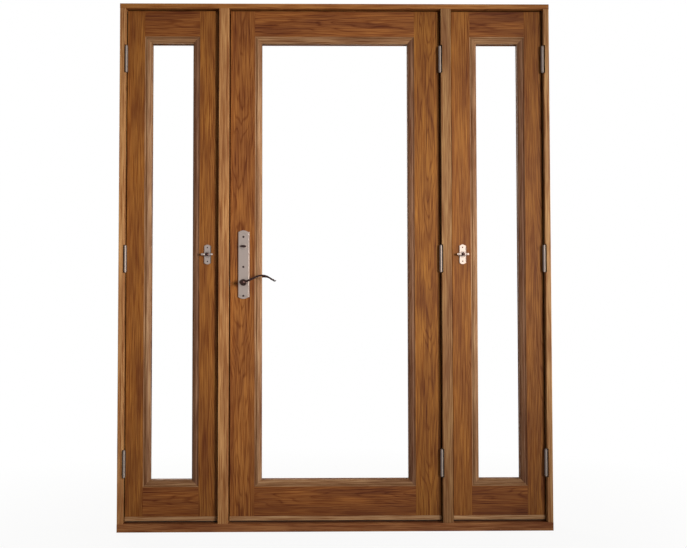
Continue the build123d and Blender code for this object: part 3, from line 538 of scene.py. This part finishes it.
def dome(x, y, z, sizes, segments=32, rings=16):
    """A swelling with its half sizes along x, y and z."""
    deselect()
    bpy.ops.mesh.primitive_uv_sphere_add(
        segments=segments, ring_count=rings, radius=MM, location=(x * MM, y * MM, z * MM),
    )
    bpy.context.object.scale = sizes
    return settle(bpy.context.object)


def ring(x, y, z, radius, thick):
    """A round wire ring that lies flat against the wall."""
    deselect()
    bpy.ops.mesh.primitive_torus_add(
        major_segments=40, minor_segments=10, major_radius=radius * MM, minor_radius=thick * MM,
        location=(x * MM, y * MM, z * MM), rotation=(pi / 2, 0, 0),
    )
    return settle(bpy.context.object)


def cross_screw(point, outward, radius, metal):
    """A countersunk screw head with a cross recess, on a surface that faces along outward."""
    outward = Vector(outward)
    turn = outward.to_track_quat("Z", "Y").to_euler()
    point = Vector(point) * MM
    deselect()
    bpy.ops.mesh.primitive_uv_sphere_add(
        segments=20, ring_count=10, radius=radius * MM, location=point,
    )
    head = bpy.context.object
    head.scale = (1, 1, SCREW_DOME)
    head.rotation_euler = turn
    settle(head)
    head.data.materials.append(MATERIALS[metal])
    bars = []
    for angle in (0, pi / 2):
        deselect()
        bpy.ops.mesh.primitive_cube_add(size=1, location=point + outward * radius * RECESS_RISE * MM)
        bar = bpy.context.object
        bar.scale = (radius * RECESS_LONG * MM, radius * RECESS_WIDE * MM, radius * RECESS_DEEP * MM)
        bar.rotation_euler = turn
        bar.rotation_euler.rotate_axis("Z", angle)
        settle(bar)
        bar.data.materials.append(MATERIALS["recess"])
        bars.append(bar)
    return [head, *bars]


def screw_set(points, outward, radius, name, body, metal="nickel"):
    """One piece of all the like screws on a body."""
    pieces = [piece for point in points for piece in cross_screw(point, outward, radius, metal)]
    finish_piece(join(pieces), name, body, None)


# Sizes and colours that a user may change


class EntranceFinishes(bpy.types.PropertyGroup):
    seed: bpy.props.IntProperty(
        name="Seed", description="First board used for the grain", default=0, min=0, max=5,
    )
    stain: bpy.props.FloatVectorProperty(
        name="Stain", description="Tint washed over every board", subtype="COLOR",
        default=(1.0, 1.0, 1.0), min=0.0, max=1.0,
    )
    metal: bpy.props.FloatVectorProperty(
        name="Metal", description="Plates, hinges and screws", subtype="COLOR",
        default=colour("#968A84")[:3], min=0.0, max=1.0,
    )


class EntranceLever(bpy.types.PropertyGroup):
    reach: bpy.props.FloatProperty(
        name="Reach", description="From the leaf's face to the arm's middle", subtype="DISTANCE",
        default=46.5 * MM, min=30 * MM, max=70 * MM,
    )
    depth: bpy.props.FloatProperty(
        name="Depth", description="Arm's depth from front to back", subtype="DISTANCE",
        default=11.0 * MM, min=6 * MM, max=16 * MM,
    )
    thick: bpy.props.FloatProperty(
        name="Thickness", description="Arm's thickness at its root", subtype="DISTANCE",
        default=8.6 * MM, min=4 * MM, max=12 * MM,
    )


class EntranceScrews(bpy.types.PropertyGroup):
    radius: bpy.props.FloatProperty(
        name="Radius", description="Plate screw head's radius", subtype="DISTANCE",
        default=4.4 * MM, min=1 * MM, max=6 * MM,
    )
    hinge_radius: bpy.props.FloatProperty(
        name="Hinge radius", description="Hinge screw head's radius", subtype="DISTANCE",
        default=4.0 * MM, min=1 * MM, max=6 * MM,
    )


class EntranceStudio(bpy.types.PropertyGroup):
    key: bpy.props.FloatProperty(
        name="Key", description="Power of the main lamp", subtype="POWER",
        default=1530.0, min=0, max=9000,
    )
    side: bpy.props.FloatProperty(
        name="Side", description="Power of the lamp at the side", subtype="POWER",
        default=70.0, min=0, max=900,
    )
    back: bpy.props.FloatProperty(
        name="Back", description="Power of the lamp on the weather side", subtype="POWER",
        default=300.0, min=0, max=3000,
    )
    fill: bpy.props.FloatProperty(
        name="Fill", description="Strength of the room's own light", default=0.2, min=0, max=2,
    )
    lens: bpy.props.FloatProperty(
        name="Lens", description="Focal length in mm", subtype="DISTANCE_CAMERA",
        default=53.01, min=20, max=100,
    )


# Operators, one for each group of like pieces and one for the stage


class ENTRANCE_OT_finishes(bpy.types.Operator):
    """Give every CAD node its material"""

    bl_idname = "entrance.finishes"
    bl_label = "Finishes"

    def execute(self, context):
        settings = context.scene.entrance_finishes
        make_materials(settings.metal)
        for count, (name, node) in enumerate(sorted(frame["nodes"].items())):
            seed = settings.seed + count * BOARD_STEP
            board = next((row[1:] for row in WOODEN if name.endswith(row[0])), None)
            node.data.materials.clear()
            if board is None:
                finish = next((row[1] for row in FITTED if name.endswith(row[0])), "nickel")
                node.data.materials.append(MATERIALS[finish])
            else:
                node.data.materials.append(self.board_oak(name, *board, seed))
            if name.endswith("_glazing_bead"):
                self.mitred_lengths(name, node, seed)
        return {"FINISHED"}

    def board_oak(self, name, kind, along, off, seed):
        """The oak of one board, with its rings' heart off the board's middle."""
        low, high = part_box(name)
        middle = (low + high) / 2
        heart = (middle.x if along == "Z" else middle.z) + off
        start = middle.z if along == "Z" else middle.x
        stain = bpy.context.scene.entrance_finishes.stain
        dark, light = (
            tuple(channel * wash for channel, wash in zip(colour(tone), (*stain, 1.0)))
            for tone in BOARDS[kind]
        )
        return oak(f"{name} oak", dark, light, along, heart, seed, start)

    def mitred_lengths(self, name, node, seed):
        """The bead is four mitred lengths: the level ones have their grain level, and the one on the
        right has a painted shade in its tone."""
        node.data.materials.append(self.board_oak(name, "bead", "X", LEVEL_BEAD_HEART, seed))
        node.data.materials.append(self.board_oak(name, "bead in painted shade", "Z", BEAD_HEART, seed))
        low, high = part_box(name)
        for face in node.data.polygons:
            level = min(face.center.z - low.z, high.z - face.center.z)
            right = high.x - face.center.x
            if level < min(BEAD_WIDTH * MM, right, face.center.x - low.x):
                face.material_index = 1
            # The right length takes the bead's tone with painted shade.
            elif right < BEAD_WIDTH * MM:
                face.material_index = 2


class ENTRANCE_OT_levers(bpy.types.Operator):
    """Model both waved levers, rounded, in place of the plain ones"""

    bl_idname = "entrance.levers"
    bl_label = "Levers"

    def arm(self, settings, y):
        """An oval section drawn out along the wave, one edit-mode extrusion at a time."""
        deselect()
        bpy.ops.mesh.primitive_circle_add(
            vertices=20, radius=MM, fill_type="NGON", rotation=(0, pi / 2, 0),
            location=(DOOR_HUB_X * MM, y * MM, LEVER_Z * MM),
        )
        arm = settle(bpy.context.object)
        bpy.ops.object.mode_set(mode="EDIT")
        bpy.ops.mesh.select_all(action="SELECT")
        centre = Vector((DOOR_HUB_X, y, LEVER_Z)) * MM
        bpy.ops.transform.resize(
            value=(1, settings.depth / MM / 2, settings.thick / MM / 2), center_override=centre,
        )
        heading = 0.0
        last = len(LEVER_PATH) - 1
        for i in range(1, last + 1):
            start, end = LEVER_PATH[i - 1], LEVER_PATH[i]
            after = LEVER_PATH[min(i + 1, last)]
            step = Vector((end[0] - start[0], 0, end[1] - start[1])) * MM
            bpy.ops.mesh.extrude_region_move(TRANSFORM_OT_translate={"value": step})
            centre = centre + step
            turn = atan2(after[1] - start[1], after[0] - start[0])
            bpy.ops.transform.rotate(value=turn - heading, orient_axis="Y", center_override=centre)
            heading = turn
            taper = TIP_TAPER if i > last - TIP_POINTS else ARM_TAPER
            bpy.ops.transform.resize(value=(taper, taper, taper), center_override=centre)
        bpy.ops.mesh.select_all(action="SELECT")
        bpy.ops.mesh.normals_make_consistent(inside=False)
        bpy.ops.object.mode_set(mode="OBJECT")
        return bevelled(arm, ARM_EDGE, 50)

    def execute(self, context):
        settings = context.scene.entrance_lever
        reach = settings.reach / MM
        # The levers take the nickel with painted shade and painted reflection.
        dark = MATERIALS["painted_dark_nickel"]
        for side, face, outward in FACES:
            name = f"{side}_lever"
            y = face + outward * reach
            seat = face + outward * PLATE_THICK
            arm = self.arm(settings, y)
            neck = disc(DOOR_HUB_X, face, LEVER_Z, NECK_RADIUS, reach, outward)
            collar = disc(
                DOOR_HUB_X, seat + outward * COLLAR_LIFT, LEVER_Z,
                COLLAR_RADIUS, COLLAR_DEPTH, outward, 48,
            )
            bevelled(collar, COLLAR_EDGE)
            boss = dome(DOOR_HUB_X, y, LEVER_Z, BOSS_SIZES)
            rim = ring(DOOR_HUB_X, seat + outward * RIM_LIFT, LEVER_Z, RIM_RADIUS, RIM_THICK)
            whole = join([arm, neck, collar, boss, rim])
            finish_piece(whole, f"{name}_rounded", "levers", dark, 40)
            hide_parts(name)
        return {"FINISHED"}


class ENTRANCE_OT_escutcheons(bpy.types.Operator):
    """Add the long plates' raised arches, and the turn's foot ring and grip"""

    bl_idname = "entrance.escutcheons"
    bl_label = "Escutcheons"

    def arches(self, front):
        """The arches of one plate whose front is at y, two at each of its ends."""
        swellings = []
        for end, inward in ((PLATE_LOW.z, 1), (PLATE_HIGH.z, -1)):
            for inset in ARCH_INSETS:
                for i in range(-ARCH_STEPS, ARCH_STEPS + 1):
                    share = i / ARCH_STEPS
                    bend = ARCH_RISE * (1 - share * share)
                    z = end + inward * (inset + ARCH_MARGIN - bend)
                    x = DOOR_HUB_X + share * (ARCH_HALF_WIDTH - inset * ARCH_NARROWING)
                    swellings.append(dome(x, front, z, ARCH_SIZES, 10, 6))
        return join(swellings)

    def execute(self, context):
        nickel = MATERIALS["nickel"]
        for side, face, outward in FACES:
            whole = self.arches(face + outward * PLATE_THICK)
            finish_piece(whole, f"{side}_plate_arches", "main_leaf", nickel)
        foot = disc(DOOR_HUB_X, FACE_Y - PLATE_THICK, BOLT_Z, FOOT_RADIUS, FOOT_DEPTH, -1, 40)
        bevelled(foot, FOOT_EDGE)
        finish_piece(foot, "turn_foot_ring", "turn", nickel)
        grip = dome(DOOR_HUB_X, FACE_Y - GRIP_REACH, BOLT_Z, GRIP_SIZES)
        # The grip takes the nickel with painted shade.
        finish_piece(grip, "turn_grip_swell", "turn", MATERIALS["painted_dark_nickel"])
        return {"FINISHED"}


class ENTRANCE_OT_catches(bpy.types.Operator):
    """Add the side catches' knobs, wings and roses"""

    bl_idname = "entrance.catches"
    bl_label = "Catches"

    def execute(self, context):
        nickel = MATERIALS["nickel"]
        # The knobs take the nickel with painted shade.
        dark = MATERIALS["painted_dark_nickel"]
        for side, sign in SIDES:
            x = sign * SIDE_HUB_X
            turn = f"{side}_turn"
            knob = dome(x, FACE_Y - KNOB_REACH, CATCH_Z, KNOB_SIZES)
            finish_piece(knob, f"{side}_catch_knob", turn, dark)
            wings = [
                dome(x + end * WING_SPREAD, FACE_Y - WING_REACH, CATCH_Z, WING_SIZES)
                for end in (-1, 1)
            ]
            finish_piece(join(wings), f"{side}_catch_wings", turn, nickel)
            seat = FACE_Y - CATCH_PLATE_THICK - ROSE_LIFT
            rose = [ring(x, seat, CATCH_Z, radius, ROSE_THICK) for radius in ROSE_RADII]
            finish_piece(join(rose), f"{side}_catch_rose", f"{side}_leaf", nickel)
        return {"FINISHED"}


class ENTRANCE_OT_screws(bpy.types.Operator):
    """Add the screws of the plates, strikes, faceplate and hinges"""

    bl_idname = "entrance.screws"
    bl_label = "Screws"

    def plate_screws(self, radius):
        """The screws of the long plates and of the side catches' plates."""
        for side, face, outward in FACES:
            front = face + outward * PLATE_THICK
            points = [(DOOR_HUB_X, front, PLATE_LOW.z + rise) for rise in PLATE_SCREWS]
            name = f"{side}_plate_screws"
            # The plates' screw heads take the nickel with painted shade.
            screw_set(points, (0, outward, 0), radius, name, "main_leaf", "painted_dark_nickel")
        front = FACE_Y - CATCH_PLATE_THICK
        for side, sign in SIDES:
            points = [(sign * SIDE_HUB_X, front, CATCH_Z + rise) for rise in CATCH_SCREWS]
            name = f"{side}_catch_screws"
            # The catches' screw heads also take the nickel with painted shade.
            screw_set(points, (0, -1, 0), SMALL_SCREW_RADIUS, name, f"{side}_leaf", "painted_dark_nickel")

    def edge_screws(self, radius):
        """The screws of the strikes and of the lock's faceplate."""
        low, high = corners("main_strike_plate")
        points = [(high.x, MIDDLE_Y, low.z + rise) for rise in STRIKE_SCREWS]
        screw_set(points, (1, 0, 0), radius, "main_strike_screws", "frame")
        strike_x = corners("side_strike_plates")[1].x
        for side, sign in SIDES:
            points = [(sign * strike_x, MIDDLE_Y, CATCH_Z + rise) for rise in SIDE_STRIKE_SCREWS]
            name = f"{side}_strike_screws"
            screw_set(points, (sign, 0, 0), SMALL_SCREW_RADIUS, name, "frame")
        low, high = corners("lock_case")
        levels = (low.z + FACEPLATE_INSET, high.z - FACEPLATE_INSET)
        points = [(FACEPLATE_X, MIDDLE_Y, z) for z in levels]
        screw_set(points, (-1, 0, 0), radius, "faceplate_screws", "main_leaf")

    def hinge_screws(self, radius):
        """The screws of both leaves of every hinge."""
        for leaf, direction in LEAVES:
            pin = pivot(f"{leaf}_swing")
            for body, side in ((f"{leaf}_leaf", 1), ("frame", -1)):
                points = [
                    (pin.x + direction * side * HINGE_LEAF_THICK, pin.y + reach, level + rise)
                    for level in HINGE_LEVELS
                    for reach, rise in HINGE_SCREWS
                ]
                outward = (-direction * side, 0, 0)
                screw_set(points, outward, radius, f"{leaf}_{body}_hinge_screws", body)

    def execute(self, context):
        settings = context.scene.entrance_screws
        self.plate_screws(settings.radius / MM)
        self.edge_screws(settings.radius / MM)
        self.hinge_screws(settings.hinge_radius / MM)
        return {"FINISHED"}


class ENTRANCE_OT_studio(bpy.types.Operator):
    """Set the camera, the lamps and the white surround"""

    bl_idname = "entrance.studio"
    bl_label = "Studio"

    def lamp(self, name, place, target, size, power, cone=None):
        """An area lamp, or a soft spot where cone gives its whole angle in degrees."""
        deselect()
        bpy.ops.object.light_add(type="SPOT" if cone else "AREA", location=place)
        lamp = bpy.context.object
        lamp.name = name
        towards = Vector(target) - Vector(place)
        lamp.rotation_euler = towards.to_track_quat("-Z", "Y").to_euler()
        if cone:
            lamp.data.spot_size = radians(cone)
            lamp.data.spot_blend = 1.0
            lamp.data.shadow_soft_size = size / 2
        else:
            lamp.data.size = size
        lamp.data.energy = power
        lamp.data.color = colour(LAMP_TONE)[:3]

    def floor(self):
        """A pale floor. It looks white to the camera and keeps a soft shadow near the object."""
        deselect()
        bpy.ops.mesh.primitive_circle_add(
            vertices=96, radius=FLOOR_RADIUS, fill_type="NGON", location=(0, 0, -FLOOR_DROP),
        )
        floor = settle(bpy.context.object)
        floor.name = "floor"
        material, tree = new_material("pale matt floor")
        place = add_node(tree, "ShaderNodeTexCoord").outputs["Object"]
        away = add_node(
            tree, "ShaderNodeVectorMath", {"operation": "LENGTH"}, i0=place,
        ).outputs["Value"]
        share = add_node(tree, "ShaderNodeMath", DIVIDES, i0=away, i1=SHADOW_REACH)
        far = add_node(tree, "ShaderNodeValToRGB", stops=FLOOR_STOPS, i0=share)
        lit = add_node(tree, "ShaderNodeBsdfDiffuse", Color=colour(FLOOR_TONE))
        white = add_node(tree, "ShaderNodeEmission", Color=WHITE, Strength=1.0)
        seen = add_node(tree, "ShaderNodeMixShader", i0=far, i1=lit, i2=white)
        mixed = add_node(tree, "ShaderNodeMixShader", i0=background_rays(tree), i1=lit, i2=seen)
        add_node(tree, "ShaderNodeOutputMaterial", i0=mixed)
        floor.data.materials.append(material)

    def surround(self, scene, fill):
        """A dim even room that looks white to the camera, in glass and in metal."""
        world = scene.world or bpy.data.worlds.new("white surround")
        scene.world = world
        world.use_nodes = True
        tree = world.node_tree
        tree.nodes.clear()
        room = add_node(tree, "ShaderNodeBackground", Color=colour(ROOM_TONE), Strength=fill)
        white = add_node(tree, "ShaderNodeBackground", Color=WHITE, Strength=1.0)
        mixed = add_node(tree, "ShaderNodeMixShader", i0=background_rays(tree), i1=room, i2=white)
        add_node(tree, "ShaderNodeOutputWorld", i0=mixed)

    def execute(self, context):
        settings = context.scene.entrance_studio
        self.lamp(
            "key lamp", place=(2.7, -4.5, 1.35), target=(-0.12, 0, 1.2), size=1.7,
            power=settings.key, cone=37,
        )
        self.lamp(
            "side lamp", place=(3.5, -0.1, 1.3), target=(0, -0.1, 1.2), size=1.6,
            power=settings.side,
        )
        self.lamp(
            "back lamp", place=(-2.6, 4.6, 2.6), target=(0, 0, 1.0), size=2.2,
            power=settings.back,
        )
        self.floor()
        bpy.ops.object.camera_add(
            location=CAMERA_PLACE, rotation=[radians(angle) for angle in CAMERA_TURN],
        )
        camera = bpy.context.object
        camera.data.lens = settings.lens
        camera.data.sensor_width = SENSOR_WIDTH
        context.scene.camera = camera
        self.surround(context.scene, settings.fill)
        context.scene.view_settings.view_transform = "Standard"
        return {"FINISHED"}


class ENTRANCE_PT_panel(bpy.types.Panel):
    """Sidebar panel with every step of the set"""

    bl_idname = "ENTRANCE_PT_panel"
    bl_label = "Entrance Set"
    bl_space_type = "VIEW_3D"
    bl_region_type = "UI"
    bl_category = "Entrance"

    def draw(self, context):
        for operator in OPERATORS:
            self.layout.operator(operator.bl_idname)
        for name in GROUPS:
            group = getattr(context.scene, name)
            for prop in group.__annotations__:
                self.layout.prop(group, prop)


# Registration


GROUPS = {
    "entrance_finishes": EntranceFinishes,
    "entrance_lever": EntranceLever,
    "entrance_screws": EntranceScrews,
    "entrance_studio": EntranceStudio,
}
OPERATORS = (
    ENTRANCE_OT_finishes,
    ENTRANCE_OT_levers,
    ENTRANCE_OT_escutcheons,
    ENTRANCE_OT_catches,
    ENTRANCE_OT_screws,
    ENTRANCE_OT_studio,
)
CLASSES = (*GROUPS.values(), *OPERATORS, ENTRANCE_PT_panel)


def register():
    for cls in CLASSES:
        bpy.utils.register_class(cls)
    for name, cls in GROUPS.items():
        setattr(bpy.types.Scene, name, bpy.props.PointerProperty(type=cls))


def unregister():
    for name in GROUPS:
        delattr(bpy.types.Scene, name)
    for cls in reversed(CLASSES):
        bpy.utils.unregister_class(cls)


def main():
    register()
    for operator in OPERATORS:
        group, name = operator.bl_idname.split(".")
        getattr(getattr(bpy.ops, group), name)()


if __name__ == "__main__":
    main()
